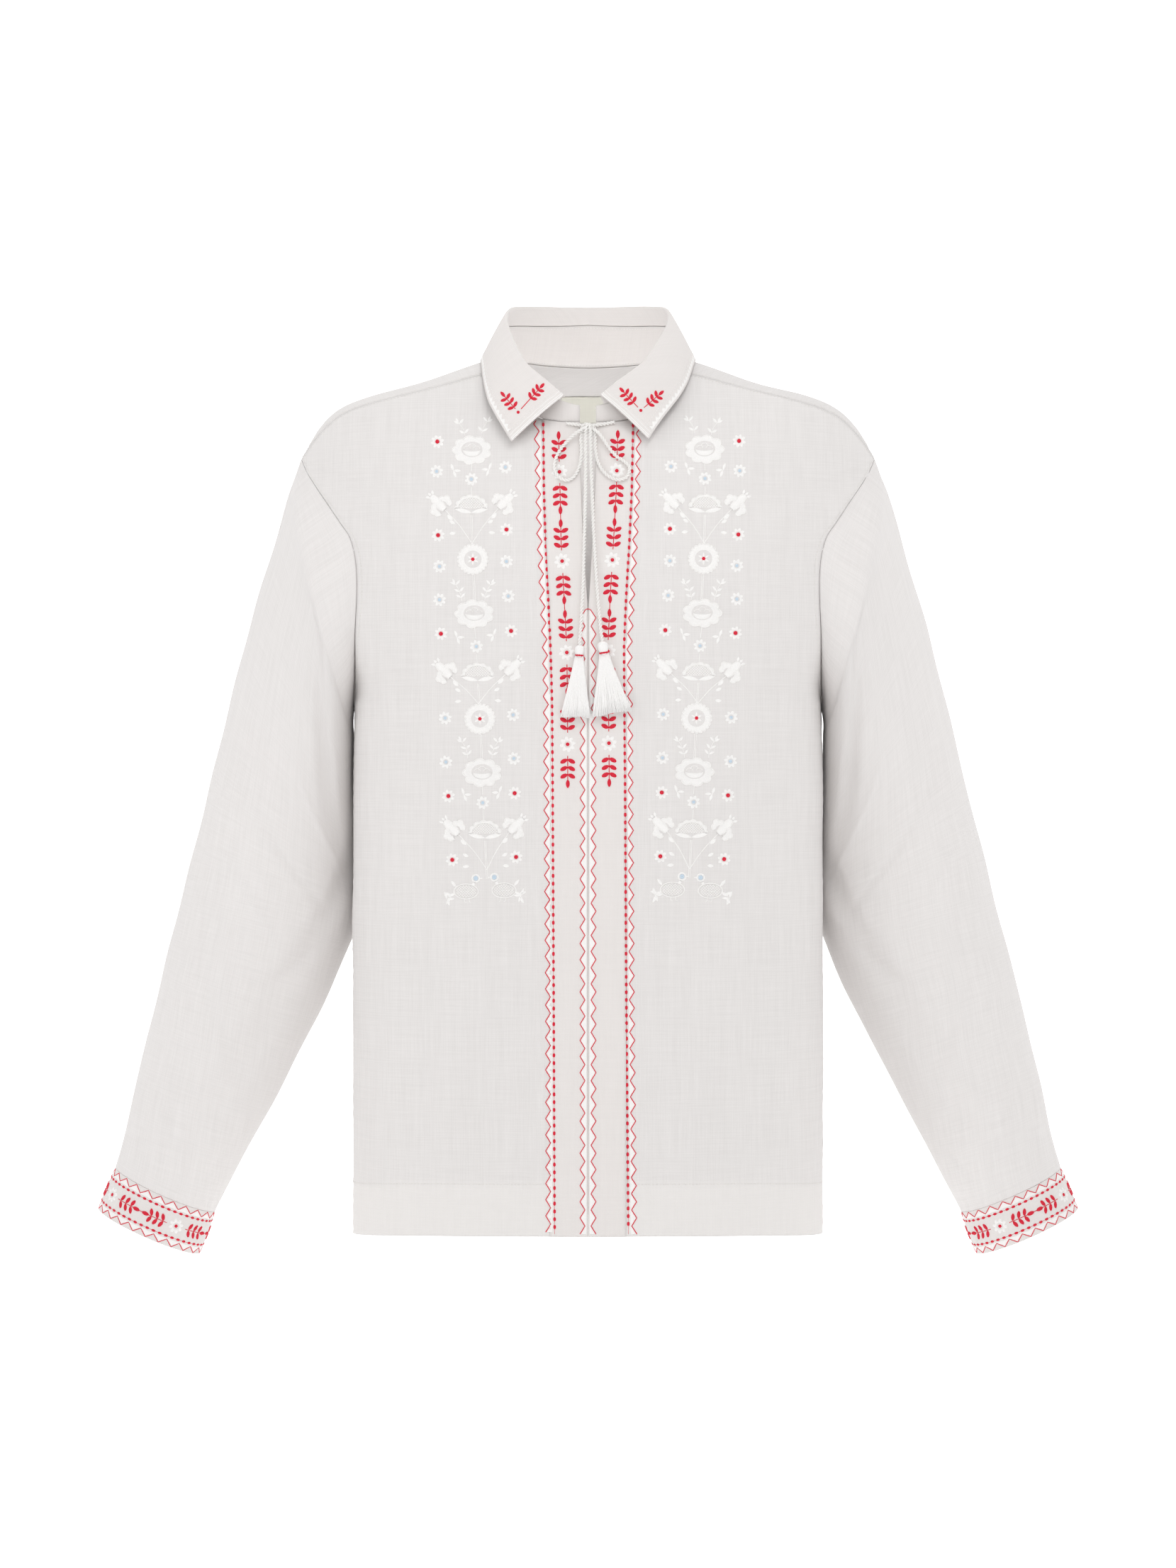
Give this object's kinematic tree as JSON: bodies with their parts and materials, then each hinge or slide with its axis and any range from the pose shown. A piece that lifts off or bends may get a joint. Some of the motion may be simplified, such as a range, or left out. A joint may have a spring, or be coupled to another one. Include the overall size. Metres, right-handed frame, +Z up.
{
  "type": "vyshyvanka shirt",
  "caption": "Long-sleeved embroidered linen shirt with a turned-down collar, band cuffs and a front slit tied by a tasselled cord, in its hollow worn form.",
  "frame": {"origin": "midway between the shoulders, level with the points where the neck seam crosses the top of the shoulders, where the wearer holds the shirt up", "axes": "+Z up, the front of the shirt faces -Y, +X is the wearer's left"},
  "size_m": [0.81, 0.2497, 0.7858],
  "materials": {
    "linen": "fine plain-woven bleached linen, matt",
    "lined_linen": "the same linen on a firm interlining, matt and smooth",
    "label_cloth": "bare woven label, pale cream satin weave",
    "cord": "twisted white cord and threads, soft sheen"
  },
  "bodies": {
    "root": {"front_left": "linen", "front_right": "linen", "back": "linen", "sleeve_left": "linen", "sleeve_right": "linen", "cuff_left": "lined_linen", "cuff_right": "lined_linen", "band_left": "lined_linen", "band_right": "lined_linen", "collar_stand": "lined_linen", "collar": "lined_linen", "label": "label_cloth", "tie_left": "cord", "tie_right": "cord", "bow_left": "cord", "bow_right": "cord", "end_left": "cord", "end_right": "cord", "bow_knot": "cord", "tassel_left": "cord", "tassel_right": "cord"}
  },
  "joints": []
}
